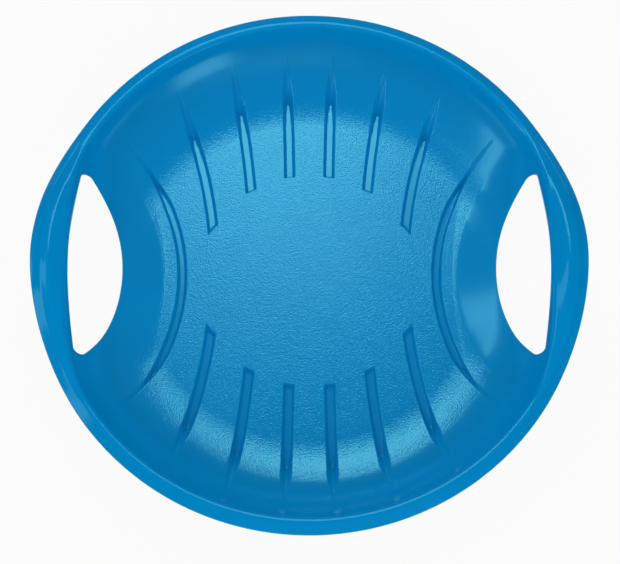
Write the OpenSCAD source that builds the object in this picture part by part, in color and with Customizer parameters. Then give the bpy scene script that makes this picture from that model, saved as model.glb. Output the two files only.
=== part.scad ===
// Round saucer sled: one moulded plastic sheet, built region by region.
// The origin is the centre of the base, on the ground; the handles lie on +X and -X.

/* [Dish] */
// Outer diameter over the rim
sled_d = 660; // [646:2:680]
// Height of the rim's crest above the floor
dish_h = 70; // [62:1:78]
// Run of the dish's curved wall, from the flat floor out to the crest
wall_run = 111; // [106:1:116]
// Thickness of the moulded sheet
wall = 2.5; // [2:0.1:3.5]

/* [Rim] */
// Width of the rim from its crest out to its edge
rim_w = 14; // [12:0.5:17]
// Radius of the rolled crest
roll_r = 7; // [5.5:0.5:8]
// Downward slope of the rim's outer flank, in degrees
flank_slope = 30; // [24:1:42]

/* [Handles] */
// Height by which each handle arches above the rim
grip_rise = 38; // [24:1:46]
// Half of the azimuth that each arch takes, in degrees
grip_span = 34; // [32:0.5:35]
// Width added to the rim at the middle of each handle
grip_w = 25; // [20:0.5:28]
// Width of the steep lip between a handle's wide top and its hand hole
lip_w = 4.7; // [3:0.1:8]
// Crown of a handle's wide top
grip_crown = 2.5; // [0:0.5:4]
// Width of a hand hole at its middle, in plan
hole_w = 56.8; // [50:0.2:60]
// Radius of the arc of a hand hole's inner edge
hole_in_r = 184.5; // [178:0.5:190]
// Radius of the arc of a hand hole's outer edge
hole_out_r = 745; // [640:5:900]
// Radius of a hand hole's rounded tips
hole_tip_r = 6.5; // [4:0.5:8]

/* [Side ramps] */
// Distance from a hand hole in to the middle line of the side rib
side_rib_gap = 72; // [68:0.5:78]
// Distance from a side rib's middle line to the foot of the ramp behind it
ramp_gap = 22.8; // [18:0.2:28]
// Slope of the ramp up to the hand hole, in degrees
ramp_slope = 23; // [18:0.5:26]
// Height over which the ramp and the dish's wall blend
ramp_soft = 7; // [3:0.5:9]

/* [Ribs] */
// Depth of a rib's groove, by which it stands proud underneath
rib_h = 6; // [4:0.5:8]
// Width of a rib's groove
rib_w = 11; // [8:0.5:13]
// Length of the cross ribs on the flat floor, measured along its radius
rib_on_floor = 68; // [60:1:76]
// Run of the ridges from where they leave the ground to their ends
rib_climb = 58; // [52:1:64]
// Radius of the bend where a ridge leaves the ground
rib_bend_r = 16; // [10:1:22]
// Distance from the rim's crest in to the radius at which the ribs run out
rib_end_gap = 20; // [19:0.5:26]
// Place of the inner cross ribs, on the way from the middle line to the side ribs
inner_rib_part = 0.1486; // [0.12:0.0001:0.18]
// Radius of the inner cross ribs' slight curve
inner_rib_r = 7000; // [4000:50:9000]
// Place of the middle cross ribs, on the same way
mid_rib_part = 0.432; // [0.4:0.001:0.47]
// Radius of the middle cross ribs' curve
mid_rib_r = 1270; // [1000:10:1500]
// Place of the outer cross ribs, on the same way
outer_rib_part = 0.743; // [0.71:0.001:0.76]
// Radius of the outer cross ribs' curve
outer_rib_r = 600; // [560:5:680]
// Radius of the side ribs' curve
side_rib_r = 240.3; // [232:0.1:246]

/* [Hidden] */

// Blue of the dish, and the lighter blue that its rim shows
dish_blue = "#0A84BE";
rim_blue = "#1495D2";

$fn = 96;

// The dish: a flat floor, a wall arc, a rolled crest tangent to it and a straight flank
rim_r = sled_d / 2;
crest_r = rim_r - rim_w;
floor_r = crest_r - wall_run;
roll_z = dish_h - roll_r;
wall_arc_r = (wall_run * wall_run + roll_z * roll_z - roll_r * roll_r) / (2 * dish_h);
wall_turn = asin(wall_run / (wall_arc_r + roll_r));
roll_in = roll_r * sin(wall_turn);
roll_out = roll_r * sin(flank_slope);
floor_z = wall + rib_h;

// Radii at which the ribs start, leave the ground and run out
rib_start = floor_r - rib_on_floor;
rib_end = crest_r - rib_end_gap;
rib_toe = rib_end - rib_climb;
// The rim and the handles start outside this radius, which the ribs don't reach
seam_gap = 6;
rim_seam = rib_end + seam_gap;
// Height of the cutting prisms, well above the handles, and how far they run past a face
cut_h = 2 * (dish_h + grip_rise);
past = 1;

// Distances from the centre to a hand hole's two edges and to the side rib
hole_far = crest_r - grip_w - lip_w;
hole_x = hole_far - hole_w;
side_rib_x = hole_x - side_rib_gap;
// The arch starts to rise outside the first radius and is whole at the second
rise_lead = 4;
rise_from = hole_x;
rise_to = crest_r - rise_lead;

// Arcs of the side ribs, the foot of the ramp and the hand hole
side_x = side_rib_x + side_rib_r;
ramp_foot_r = side_rib_r - ramp_gap;
hole_in_x = hole_x + hole_in_r;
hole_out_x = hole_far - hole_out_r;
// Blend between ramp and wall: sharp at the ramp's foot, full where the wall is steep
soft_lead = 10;
soft_from = side_rib_x + ramp_gap - soft_lead;
soft_over = 40;
soft_least = 0.15;

// Centre of a hole's rounded tip, inside both edge arcs by the tip's radius
tip_in = hole_in_r - hole_tip_r;
tip_out = hole_out_r - hole_tip_r;
tip_x = hole_out_x
    + (tip_out ^ 2 - tip_in ^ 2 + (hole_in_x - hole_out_x) ^ 2) / (2 * (hole_in_x - hole_out_x));
tip_y = sqrt(tip_out ^ 2 - (tip_x - hole_out_x) ^ 2);
tip_away = norm([tip_x, tip_y]);
tip_a = atan2(tip_y, tip_x);
// Azimuth and radius at which a ray from the centre just touches the tip
touch_a = tip_a + asin(hole_tip_r / tip_away);
touch_r = sqrt(tip_away ^ 2 - hole_tip_r ^ 2);
// Azimuths at which the tip's round meets the outer and the inner edge
tip_to_out = atan2(tip_y, tip_x - hole_out_x);
out_a = atan2(tip_y + hole_tip_r * sin(tip_to_out), tip_x + hole_tip_r * cos(tip_to_out));
tip_to_in = atan2(tip_y, hole_in_x - tip_x);
in_a = atan2(tip_y + hole_tip_r * sin(tip_to_in), tip_x - hole_tip_r * cos(tip_to_in));
// Past the tip, the seam between handle and side wall swings out to the rim's seam
seam_a = (touch_a + grip_span) / 2;

// Half width of a side rib with its walls, and the azimuth at which the side walls end,
// just short of a sharp point
side_half = rib_w / 2 + wall;
side_in_r = side_rib_r - side_half;
side_out_r = side_rib_r + side_half;
pointed_end = 0.02;
side_end_a =
    acos((rim_seam ^ 2 + side_x ^ 2 - side_in_r ^ 2) / (2 * rim_seam * side_x)) - pointed_end;

// Steps of the sampled arcs
arc_steps = 12;
bend_steps = 5;
side_steps = 36;
// Columns of the grids along a hole's edge, round its tip, along the seam and to a pointed end
edge_cols = 9;
tip_cols = 5;
seam_cols = 4;
end_cols = 6;
// Rows of the grids: over a side wall, and over the five stretches of the rim's section
wall_rows = 12;
lip_rows = 3;
shoulder_rows = 4;
plateau_rows = 3;
crest_rows = 3;
flank_rows = 2;
// Least width of the lip and of the stretch before the crest, so that rows never meet
least_lip = 1;
least_plateau = 1.5;

function clamp(t) = min(max(t, 0), 1);
function smooth(t) = let (u = clamp(t)) u * u * (3 - 2 * u);
// 1 in the middle, falling to 0 at half the span on either side
function bell(a, span) = abs(a) < span ? 0.5 + 0.5 * cos(180 * a / span) : 0;
// The higher of two heights, rounded where they cross
function soft_max(a, b, k) =
    let (h = clamp(0.5 + 0.5 * (a - b) / k)) b + (a - b) * h + k * h * (1 - h);
// Radius, seen from the centre at azimuth a, of the near side of a circle on the X axis
function near_side(a, x, r) = x * cos(a) - sqrt(max(r * r - (x * sin(a)) ^ 2, 0));
function far_side(a, x, r) = x * cos(a) + sqrt(max(r * r - (x * sin(a)) ^ 2, 0));
// The same for the two sides of a hole's tip
function tip_side(a, way) =
    tip_away * cos(a - tip_a)
    + way * sqrt(max(hole_tip_r ^ 2 - (tip_away * sin(a - tip_a)) ^ 2, 0));

// Height of the dish's inner face above its floor, without handles and ramps
function wall_z(r) =
    wall_arc_r - sqrt(max(wall_arc_r ^ 2 - max(r - floor_r, 0) ^ 2, 0));
function dish_z(r) =
    r < crest_r - roll_in ? wall_z(r)
    : r < crest_r + roll_out ? roll_z + sqrt(max(roll_r ^ 2 - (r - crest_r) ^ 2, 0))
    : roll_z + roll_r * cos(flank_slope) - (r - crest_r - roll_out) * tan(flank_slope);

// Height of the whole upper face above the ground
function top_z(x, y) =
    let (
        r = norm([x, y]),
        a = atan2(abs(y), abs(x)),
        widen = grip_w * bell(a, grip_span),
        shoulder = crest_r - widen,
        dish = r < shoulder ? dish_z(r + widen) : r < crest_r ? dish_h : dish_z(r),
        across = widen > 0 ? clamp((r - shoulder) / widen) : 0,
        crown = grip_crown * bell(a, grip_span) * 4 * across * (1 - across),
        ramp = (ramp_foot_r - norm([abs(x) - side_x, y])) * tan(ramp_slope),
        soft = ramp_soft * min(max((r - soft_from) / soft_over, soft_least), 1),
        rise = grip_rise * bell(a, grip_span) * smooth((r - rise_from) / (rise_to - rise_from))
    )
    floor_z + soft_max(dish, ramp, soft) + crown + rise;

// Height of the lower face: the wall's thickness below, measured square to the sheet,
// with the slope found by probing this far to either side
probe = 0.05;
function low_z(x, y) =
    let (
        fx = (top_z(x + probe, y) - top_z(x - probe, y)) / (2 * probe),
        fy = (top_z(x, y + probe) - top_z(x, y - probe)) / (2 * probe)
    )
    top_z(x, y) - wall * sqrt(1 + fx * fx + fy * fy);
function wall_low_z(r) =
    wall_z(r) - wall / sqrt(max(1 - (max(r - floor_r, 0) / wall_arc_r) ^ 2, 0.01));

function spread(a, b, n) = [for (i = [0:n]) a + (b - a) * i / n];
function but_first(list) = [for (i = [1:len(list) - 1]) list[i]];
function mirrored(half) = concat([for (i = [len(half) - 1:-1:1]) -half[i]], half);

// Radii of a section across the rim from the seam at rb, closest at the rolled crest
function rim_rows(rb, a) =
    let (
        shoulder = min(crest_r - grip_w * bell(a, grip_span), crest_r - least_plateau),
        roll_start = max(rb + least_lip, shoulder - roll_in)
    )
    concat(
        spread(rb, roll_start, lip_rows),
        but_first(spread(roll_start, shoulder, shoulder_rows)),
        but_first(spread(shoulder, crest_r, plateau_rows)),
        but_first(spread(crest_r, crest_r + roll_out, crest_rows)),
        but_first(spread(crest_r + roll_out, rim_r, flank_rows))
    );

// Seam between handle and side wall, past the hole's tip
function seam_r(a) = touch_r + (rim_seam - touch_r) * smooth((a - touch_a) / (seam_a - touch_a));
// Outer edge of the hand hole, and the seam past its tip
function handle_edge(a) =
    a < out_a ? far_side(a, hole_out_x, hole_out_r)
    : a < touch_a ? tip_side(a, 1)
    : seam_r(a);
// Inner edge of the hand hole, and the seam past its tip
function side_edge(a) =
    a < in_a ? near_side(a, hole_in_x, hole_in_r)
    : a < touch_a ? tip_side(a, -1)
    : seam_r(a);

// Azimuths of the columns: round the tip they close up towards the ray that touches it
function tip_angles(from) = [for (i = [1:tip_cols]) from + (touch_a - from) * sin(90 * i / tip_cols)];
handle_half = concat(
    spread(0, out_a, edge_cols),
    tip_angles(out_a),
    but_first(spread(touch_a, seam_a, seam_cols)),
    but_first(spread(seam_a, grip_span, seam_cols))
);
side_wall_half = concat(
    spread(0, in_a, edge_cols),
    tip_angles(in_a),
    but_first(spread(touch_a, seam_a, seam_cols)),
    [for (i = [1:end_cols]) side_end_a - (side_end_a - seam_a) * (1 - i / end_cols) ^ 2]
);

function handle_grid() = [
    for (a = mirrored(handle_half))
        [for (r = rim_rows(handle_edge(abs(a)), a)) [r * cos(a), r * sin(a)]]
];
function side_wall_grid() = [
    for (a = mirrored(side_wall_half))
        [for (r = spread(near_side(a, side_x, side_in_r), side_edge(abs(a)), wall_rows))
            [r * cos(a), r * sin(a)]]
];

// Two triangles for each square of points a, b, c and d
function quad(a, b, c, d) = [[a, b, c], [a, c, d]];

// A piece of the sheet over a grid of plan points, columns by rows
module sheet_piece(grid) {
    cols = len(grid);
    rows = len(grid[0]);
    count = cols * rows;
    function id(i, j) = i * rows + j;
    top = [for (col = grid) for (p = col) [p.x, p.y, top_z(p.x, p.y)]];
    low = [for (col = grid) for (p = col) [p.x, p.y, low_z(p.x, p.y)]];
    faces = concat(
        [for (i = [0:cols - 2]) for (j = [0:rows - 2])
            each quad(id(i, j), id(i + 1, j), id(i + 1, j + 1), id(i, j + 1))],
        [for (i = [0:cols - 2]) for (j = [0:rows - 2])
            each quad(count + id(i, j), count + id(i, j + 1),
                count + id(i + 1, j + 1), count + id(i + 1, j))],
        [for (i = [0:cols - 2]) for (j = [0, rows - 1])
            each j == 0
                ? quad(id(i, j), count + id(i, j), count + id(i + 1, j), id(i + 1, j))
                : quad(id(i, j), id(i + 1, j), count + id(i + 1, j), count + id(i, j))],
        [for (j = [0:rows - 2]) for (i = [0, cols - 1])
            each i == 0
                ? quad(id(i, j), id(i, j + 1), count + id(i, j + 1), count + id(i, j))
                : quad(id(i, j), count + id(i, j), count + id(i, j + 1), id(i, j + 1))]
    );
    polyhedron(concat(top, low), faces, convexity = 10);
}

// Rib profile: the bend's angle is the one whose tangent meets the end of the rib
bend_z = rib_bend_r - rib_h;
bend_to_end = [rib_end - rib_toe, wall_z(rib_end) - bend_z];
bend_turn = atan2(bend_to_end.y, bend_to_end.x) + asin(rib_bend_r / norm(bend_to_end));
function bend_points(r) =
    [for (t = spread(0, bend_turn, bend_steps)) [rib_toe + r * sin(t), bend_z - r * cos(t)]];
ridge_end = [rib_end + wall * sin(bend_turn), wall_z(rib_end) - wall * cos(bend_turn)];
rib_zone_in = rib_start - 4 * wall;

// Section of a rib's groove, open upwards, in radius and height above the floor
groove_section = concat(
    [[rib_zone_in, -rib_h]], bend_points(rib_bend_r),
    [[rib_end, wall_z(rib_end)], [rim_seam, wall_z(rib_end)], [rim_seam, cut_h], [rib_zone_in, cut_h]]
);
// Section from the ridge's underside up to the dish's inner face
ridge_section = concat(
    [[rib_zone_in, -rib_h - wall]], bend_points(rib_bend_r + wall),
    [ridge_end, [rim_seam, wall_low_z(rim_seam)]],
    [for (r = spread(rim_seam, floor_r, arc_steps)) [r, wall_z(r)]],
    [[rib_zone_in, 0]]
);
// Section of the dish's wall from the floor to the rim's seam
wall_section = concat(
    [for (r = spread(floor_r, rim_seam, arc_steps)) [r, wall_low_z(r)]],
    [for (r = spread(rim_seam, floor_r, arc_steps)) [r, wall_z(r)]]
);
// Section of the rim beyond its seam, as the handles end in it
rim_section = let (
    rows = rim_rows(rim_seam, grip_span),
    ca = cos(grip_span),
    sa = sin(grip_span)
) concat(
    [for (r = rows) [r, low_z(r * ca, r * sa) - floor_z]],
    [for (i = [len(rows) - 1:-1:0]) [rows[i], dish_z(rows[i])]]
);

module revolved(section, angle = 360) {
    translate([0, 0, floor_z])
        rotate_extrude(angle = angle) polygon(section);
}

// Angle, about a rib's arc centre, at which its middle line is at radius r from the sled's centre
function rib_turn(x0, arc, r) =
    acos(((x0 + arc) ^ 2 + arc ^ 2 - r ^ 2) / (2 * (x0 + arc) * arc));
// Radius from the sled's centre of the middle line at that angle
function rib_away(x0, arc, t) =
    sqrt((x0 + arc) ^ 2 + arc ^ 2 - 2 * (x0 + arc) * arc * cos(t));
// Half width of the groove: full on the floor, narrowing to nothing at its end
function groove_half(r) = rib_w / 2 * clamp((rib_end - r) / (rib_end - rib_toe));
function degrees_of(length, arc) = length / arc * 180 / PI;

// Outline of a rib in plan, from angle t0 to t1, wider than its groove by extra
module rib_outline(x0, arc, t0, t1, extra, steps) {
    turns = spread(t0, t1, steps);
    function half(t) = groove_half(rib_away(x0, arc, t)) + extra;
    polygon(concat(
        [for (t = turns)
            [x0 + arc - (arc + half(t)) * cos(t), (arc + half(t)) * sin(t)]],
        [for (i = [steps:-1:0]) let (t = turns[i], r = arc - half(t))
            [x0 + arc - r * cos(t), r * sin(t)]]
    ));
}

rib_x = side_rib_x * [inner_rib_part, mid_rib_part, outer_rib_part];
rib_r = [inner_rib_r, mid_rib_r, outer_rib_r];

// Prism of cross rib k, counted from the middle line, extra wider than its groove all round
module cross_rib_prism(k, extra) {
    ends = degrees_of(extra, rib_r[k]);
    linear_extrude(cut_h)
        rib_outline(
            rib_x[k], rib_r[k],
            rib_turn(rib_x[k], rib_r[k], rib_start) - ends,
            rib_turn(rib_x[k], rib_r[k], rib_end) + ends,
            extra, arc_steps
        );
}

// A cross rib on the rear right; the others mirror it
module cross_rib(k) {
    difference() {
        intersection() {
            revolved(ridge_section);
            cross_rib_prism(k, wall);
        }
        intersection() {
            revolved(groove_section);
            cross_rib_prism(k, 0);
        }
    }
}

// Ribs count from left to right: their number from the middle line, and their side
rib_number = [2, 1, 0, 0, 1, 2];
rib_side = [-1, -1, -1, 1, 1, 1];

module place_rib(n, to_rear) {
    mirror([rib_side[n - 1] < 0 ? 1 : 0, 0, 0])
        mirror([0, to_rear ? 0 : 1, 0])
            children();
}

module cross_rib_cuts(to_rear) {
    for (n = [1:6])
        place_rib(n, to_rear) cross_rib_prism(rib_number[n - 1], wall);
}

// Everything inside the outer edge of a side rib
module side_zones() {
    for (side = [-1, 1])
        translate([side * side_x, 0, -past]) cylinder(r = side_out_r, h = cut_h + past);
}

module floor_plate() {
    difference() {
        translate([0, 0, rib_h]) cylinder(r = floor_r, h = wall);
        side_zones();
        cross_rib_cuts(true);
        cross_rib_cuts(false);
    }
}

module dish_wall(to_rear) {
    difference() {
        mirror([0, to_rear ? 0 : 1, 0]) revolved(wall_section, 180);
        side_zones();
        cross_rib_cuts(to_rear);
    }
}

module rim(to_rear) {
    rotate([0, 0, to_rear ? grip_span : 180 + grip_span])
        revolved(rim_section, 180 - 2 * grip_span);
}

module side_rib() {
    end_turn = rib_turn(side_rib_x, side_rib_r, rib_end);
    difference() {
        intersection() {
            revolved(ridge_section);
            translate([side_x, 0, 0])
                difference() {
                    cylinder(r = side_out_r, h = cut_h);
                    translate([0, 0, -past]) cylinder(r = side_in_r, h = cut_h + 2 * past);
                }
        }
        intersection() {
            revolved(groove_section);
            linear_extrude(cut_h)
                rib_outline(side_rib_x, side_rib_r, -end_turn, end_turn, 0, side_steps);
        }
    }
}

// The left side mirrors the right
module on_side(side) {
    mirror([side < 0 ? 1 : 0, 0, 0]) children();
}

module floor() color(dish_blue) floor_plate();
module rear_wall() color(dish_blue) dish_wall(true);
module front_wall() color(dish_blue) dish_wall(false);
module side_wall(side) color(dish_blue) on_side(side) sheet_piece(side_wall_grid());
module rear_rim() color(rim_blue) rim(true);
module front_rim() color(rim_blue) rim(false);
module handle(side) color(rim_blue) on_side(side) sheet_piece(handle_grid());
module rear_rib(n) color(dish_blue) place_rib(n, true) cross_rib(rib_number[n - 1]);
module front_rib(n) color(dish_blue) place_rib(n, false) cross_rib(rib_number[n - 1]);
module placed_side_rib(side) color(dish_blue) on_side(side) side_rib();

floor();
rear_wall();
front_wall();
side_wall(-1);  // left_side_wall
side_wall(1);  // right_side_wall
rear_rim();
front_rim();
handle(-1);  // left_handle
handle(1);  // right_handle
rear_rib(1);  // rear_rib_1
rear_rib(2);  // rear_rib_2
rear_rib(3);  // rear_rib_3
rear_rib(4);  // rear_rib_4
rear_rib(5);  // rear_rib_5
rear_rib(6);  // rear_rib_6
front_rib(1);  // front_rib_1
front_rib(2);  // front_rib_2
front_rib(3);  // front_rib_3
front_rib(4);  // front_rib_4
front_rib(5);  // front_rib_5
front_rib(6);  // front_rib_6
placed_side_rib(-1);  // left_side_rib
placed_side_rib(1);  // right_side_rib
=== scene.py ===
"""Round saucer sled moulded in blue polyethylene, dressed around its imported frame.

One pair of height functions, for the upper and the lower face of the moulded sheet, gives every
surface. Each piece takes its own region of the sheet from grids whose lines follow the ribs, the
hand holes and the rim, so that neighbours share their edges and their shading.
All lengths are in metres. +Z is up out of the dish, the handles lie on +X and -X, the front is -Y.
"""

import math
from collections import namedtuple
from functools import lru_cache

import bpy
import numpy as np
from bpy.props import FloatProperty, FloatVectorProperty, PointerProperty
from bpy.types import Operator, Panel, PropertyGroup
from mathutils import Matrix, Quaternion, Vector


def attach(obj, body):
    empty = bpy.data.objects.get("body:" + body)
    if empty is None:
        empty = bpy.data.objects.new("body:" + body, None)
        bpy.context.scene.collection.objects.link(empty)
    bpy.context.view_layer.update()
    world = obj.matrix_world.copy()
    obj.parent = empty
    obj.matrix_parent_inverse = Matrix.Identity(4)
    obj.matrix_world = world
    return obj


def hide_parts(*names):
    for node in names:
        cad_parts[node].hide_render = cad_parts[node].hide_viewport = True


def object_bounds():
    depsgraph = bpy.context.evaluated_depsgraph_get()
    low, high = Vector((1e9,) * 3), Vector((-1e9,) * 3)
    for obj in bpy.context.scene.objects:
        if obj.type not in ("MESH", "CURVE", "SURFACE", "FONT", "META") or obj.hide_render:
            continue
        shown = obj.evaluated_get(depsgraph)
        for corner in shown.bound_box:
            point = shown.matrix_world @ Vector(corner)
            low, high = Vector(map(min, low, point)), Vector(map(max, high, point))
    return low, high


bl_info = {
    "name": "Saucer Sled",
    "version": (1, 0, 0),
    "blender": (4, 5, 0),
    "location": "View3D > Sidebar > Sled",
    "description": "Builds the looks of a moulded saucer sled around its packed frame",
    "category": "Object",
}

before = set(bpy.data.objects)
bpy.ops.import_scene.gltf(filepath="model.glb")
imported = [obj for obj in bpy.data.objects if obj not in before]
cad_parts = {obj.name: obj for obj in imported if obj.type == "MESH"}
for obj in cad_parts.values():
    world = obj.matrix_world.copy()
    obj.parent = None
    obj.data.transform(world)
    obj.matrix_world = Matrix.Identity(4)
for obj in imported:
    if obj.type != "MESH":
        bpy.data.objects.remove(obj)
FRAME_LOW, FRAME_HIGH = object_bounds()

MM = 0.001


def linear(hex_colour):
    """Turns an sRGB hex colour to the linear colour that shaders take."""
    parts = [int(hex_colour[i : i + 2], 16) / 255 for i in (0, 2, 4)]
    return tuple(p / 12.92 if p <= 0.04045 else ((p + 0.055) / 1.055) ** 2.4 for p in parts)


def length(name, default_mm, description):
    """A length property whose default is given in millimetres."""
    return FloatProperty(
        name=name, description=description, default=default_mm * MM, unit="LENGTH", precision=4
    )


def angle(name, default_degrees, description):
    """An angle property whose default is given in degrees."""
    return FloatProperty(
        name=name, description=description, default=math.radians(default_degrees), unit="ROTATION"
    )


class SledSizes(PropertyGroup):
    """Sizes of the moulding.

    The dish, the rim, the holes and the ribs' places are the part's own. The grooves' section and
    the tops of the handles follow the photograph more closely than the part's solids do.
    """

    diameter: FloatProperty(
        name="Diameter",
        description="Outer diameter over the rim",
        default=min(FRAME_HIGH.x - FRAME_LOW.x, FRAME_HIGH.y - FRAME_LOW.y),
        unit="LENGTH",
    )
    dish_height: length("Dish height", 70, "Height of the rim's crest above the floor")
    wall_run: length("Wall run", 111, "Run of the curved wall, from the flat floor to the crest")
    sheet: length("Sheet", 2.5, "Thickness of the moulded sheet")
    rim_width: length("Rim width", 14, "Width of the rim from its crest to its edge")
    roll_radius: length("Roll radius", 7, "Radius of the rim's rolled crest")
    flank_slope: angle("Flank slope", 30, "Downward slope of the rim's outer flank")
    grip_rise: length("Grip rise", 38, "Height by which each handle arches above the rim")
    grip_span: angle("Grip span", 34, "Half of the azimuth that each arch takes")
    grip_width: length("Grip width", 25, "Width added to the rim at the middle of a handle")
    lip_width: length("Lip width", 4.7, "Width of the steep lip above a hand hole")
    grip_ridge: length("Grip ridge", 8, "Distance of a handle's ridge inside the rim's crest")
    grip_in_slope: FloatProperty(
        name="Grip inner slope", description="Rise over run up to the ridge", default=0.22
    )
    grip_out_slope: FloatProperty(
        name="Grip outer slope", description="Fall over run beyond the ridge", default=0.3
    )
    hole_width: length("Hole width", 56.8, "Width of a hand hole at its middle, in plan")
    hole_inner_radius: length("Hole inner radius", 184.5, "Radius of a hole's inner edge")
    hole_outer_radius: length("Hole outer radius", 745, "Radius of a hole's outer edge")
    hole_tip_radius: length("Hole tip radius", 6.5, "Radius of a hole's rounded tips")
    side_rib_gap: length("Side rib gap", 72, "Distance from a hand hole in to the side rib")
    side_rib_radius: length("Side rib radius", 240.3, "Radius of the side ribs' curve")
    ramp_gap: length("Ramp gap", 22.8, "Distance from a side rib to the foot of its ramp")
    ramp_slope: angle("Ramp slope", 23, "Slope of the ramp up to the hand hole")
    rib_depth: length("Rib depth", 6, "Depth of the ribs' grooves in the flat floor")
    rib_on_floor: length("Rib on floor", 68, "Length of the cross ribs on the floor's radius")
    rib_climb: length("Rib climb", 58, "Run of the ribs from where they leave the ground")
    rib_end_gap: length("Rib end gap", 20, "Distance from the rim's crest to the ribs' ends")
    inner_rib_part: FloatProperty(
        name="Inner rib part", description="Share of the side ribs' distance", default=0.1486
    )
    inner_rib_radius: length("Inner rib radius", 7000, "Radius of the inner ribs' slight curve")
    middle_rib_part: FloatProperty(
        name="Middle rib part", description="Share of the side ribs' distance", default=0.432
    )
    middle_rib_radius: length("Middle rib radius", 1270, "Radius of the middle ribs' curve")
    outer_rib_part: FloatProperty(
        name="Outer rib part", description="Share of the side ribs' distance", default=0.743
    )
    outer_rib_radius: length("Outer rib radius", 600, "Radius of the outer ribs' curve")
    rib_bend: length("Rib bend", 0.2, "Length over which a groove's bottom bends up the wall")
    groove_half: length("Groove half width", 6.7, "Half width of a groove at the surface")
    end_square: FloatProperty(
        name="End square", description="How far the ribs' inner ends are cut square", default=0.35
    )
    groove_draft: FloatProperty(
        name="Groove draft", description="Run over rise of a groove's sides", default=0.47
    )


class SledFinish(PropertyGroup):
    """Colours and finish of the polyethylene."""

    plastic_colour: FloatVectorProperty(
        name="Plastic",
        description="Colour of the moulded polyethylene",
        subtype="COLOR",
        size=3,
        default=linear("0089CB"),
    )
    smooth_roughness: FloatProperty(
        name="Smooth roughness", description="Roughness of the polished mould", default=0.12
    )
    ramp_roughness: FloatProperty(
        name="Ramp roughness", description="Roughness of the dish beside the grain", default=0.19
    )
    grain_roughness: FloatProperty(
        name="Grain roughness", description="Roughness of the grained mould", default=0.18
    )
    grain_size: length("Grain size", 1.5, "Spacing of the grain etched into the mould's middle")


class SledStage(PropertyGroup):
    """Camera and studio."""

    camera_distance: FloatProperty(
        name="Camera distance",
        description="Distance from the middle of the floor",
        default=2.1,
        unit="LENGTH",
    )
    camera_tilt: angle("Camera tilt", 18.48, "Angle of the view off the vertical")
    lens_mm: FloatProperty(name="Lens", description="Focal length in millimetres", default=98.49)
    shift_x: FloatProperty(name="Shift X", description="Sideways shift of the lens", default=0.0011)
    shift_y: FloatProperty(name="Shift Y", description="Upright shift of the lens", default=-0.0055)
    paper_half: FloatProperty(
        name="Paper half width",
        description="Half of the width of the paper floor",
        default=6.0,
        unit="LENGTH",
    )


# Handles and ramps
# Distance from the ribs' ends out to the seam between wall and rim
SEAM_GAP = 6 * MM
# A handle's arch is whole this far inside the rim's crest
RISE_LEAD = 4 * MM
# Blend of ramp and wall: its height, where it starts, the run over which it grows, its least share
RAMP_SOFT, RAMP_SOFT_LEAD, RAMP_SOFT_RUN, RAMP_SOFT_LEAST = 7 * MM, 10 * MM, 40 * MM, 0.15
# A handle's roof: its ridge's height, and the azimuth and the run over which it grows
ROOF_HEIGHT, ROOF_TURN, ROOF_RUN, ROOF_LEAD = 2.2 * MM, math.radians(14), 34 * MM, 36 * MM
# How far the roof's two falls go past the shoulder and the crest, and how softly they end
PAST_SHOULDER, SHOULDER_SOFT = 2 * MM, 6 * MM
PAST_CREST, CREST_SOFT = 1.5 * MM, 3 * MM
# Rounding of the ridge between the two falls
RIDGE_SOFT = 1.1 * MM

# Grooves
# On the climb a groove's sides widen to this draft, over this run
CLIMB_DRAFT, DRAFT_RUN = 1.0, 14 * MM
# Rounding of a groove's corners and of its lines, and the depth below which the lines sharpen
CORNER_SOFT, GROOVE_SOFT, SHALLOW = 1.5 * MM, 1.4 * MM, 2 * MM
# A cross groove keeps its width up to this far past the toe and narrows to this share at its end
FADE_LEAD, FADE_LEAST = 12 * MM, 0.06
# A side groove's half width: its share on the floor, and its values at the toe and at the end
SIDE_SHARE, SIDE_TOE_HALF, SIDE_END_HALF = 0.88, 2.6 * MM, 0.6 * MM
# It starts to narrow this far inside the flat floor's edge
SIDE_LEAD = 5 * MM
# Ridges underneath are wider than the grooves by this share of the sheet on each side
RIDGE_EXTRA = 0.8

# Grain
# How far past the ribs' toes it starts to fade, and the runs over which it fades
GRAIN_PAST_TOE, GRAIN_FADE, RAMP_FADE, TOE_FADE = 10 * MM, 14 * MM, 2.5 * MM, 5 * MM

# Grid lines
# Reach of a rib's own lines on each side, and up to where they are wide apart in its bottom
RIB_REACH, RIB_BOTTOM = 10.6 * MM, 3.2 * MM
BOTTOM_STEP, SIDE_STEP, PLAIN_STEP = 1.1 * MM, 0.62 * MM, 4.2 * MM
# Rows are closest from just before a rib's inner end to just past it, and round its toe
INNER_END_BEFORE, INNER_END_PAST = 2 * MM, 4.6 * MM
TOE_BEFORE, TOE_PAST, OUTER_END_PAST = 8 * MM, 10 * MM, 2 * MM
# Rows from the X axis: floor, inner end, groove on the floor, foot, toe, climb and seam
CENTRAL_ROWS = (24, 14, 20, 8, 12, 18, 2)
# Height above the X axis at which the last column has the rows of the ribs' inner ends
LAST_START = 30 * MM
# Rows up to the ramp's foot, over the ramp, and close to the hole's edge past that share
FOOT_ROWS, RAMP_ROWS, NEAR_ROWS, NEAR_SHARE = 5, 22, 6, 0.97
# Shares of the side's columns at which the hole's inner edge and its tip end
INNER_SHARE, TIP_SHARE = 0.56, 0.66
# Columns of the rim along the hole's outer edge and round its tip
HOLE_COLUMNS, TIP_COLUMNS = 44, 12
# Rows of the rim: edge, lip, roll, plateau, crest, flank and edge
RIM_ROWS = (5, 4, 8, 10, 7, 5, 6)
EDGE_BAND, LEAST_WIDTH = 1.2 * MM, 2 * MM
# Share of the edge's radius at which its rounding stops, so that its slope stays finite
ROUND_PART = 0.98
# Step over which slopes are taken, the distance below which points are one, and a far distance
SLOPE_STEP, MERGE, FAR = 0.05 * MM, 0.001 * MM, 9.0


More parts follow.
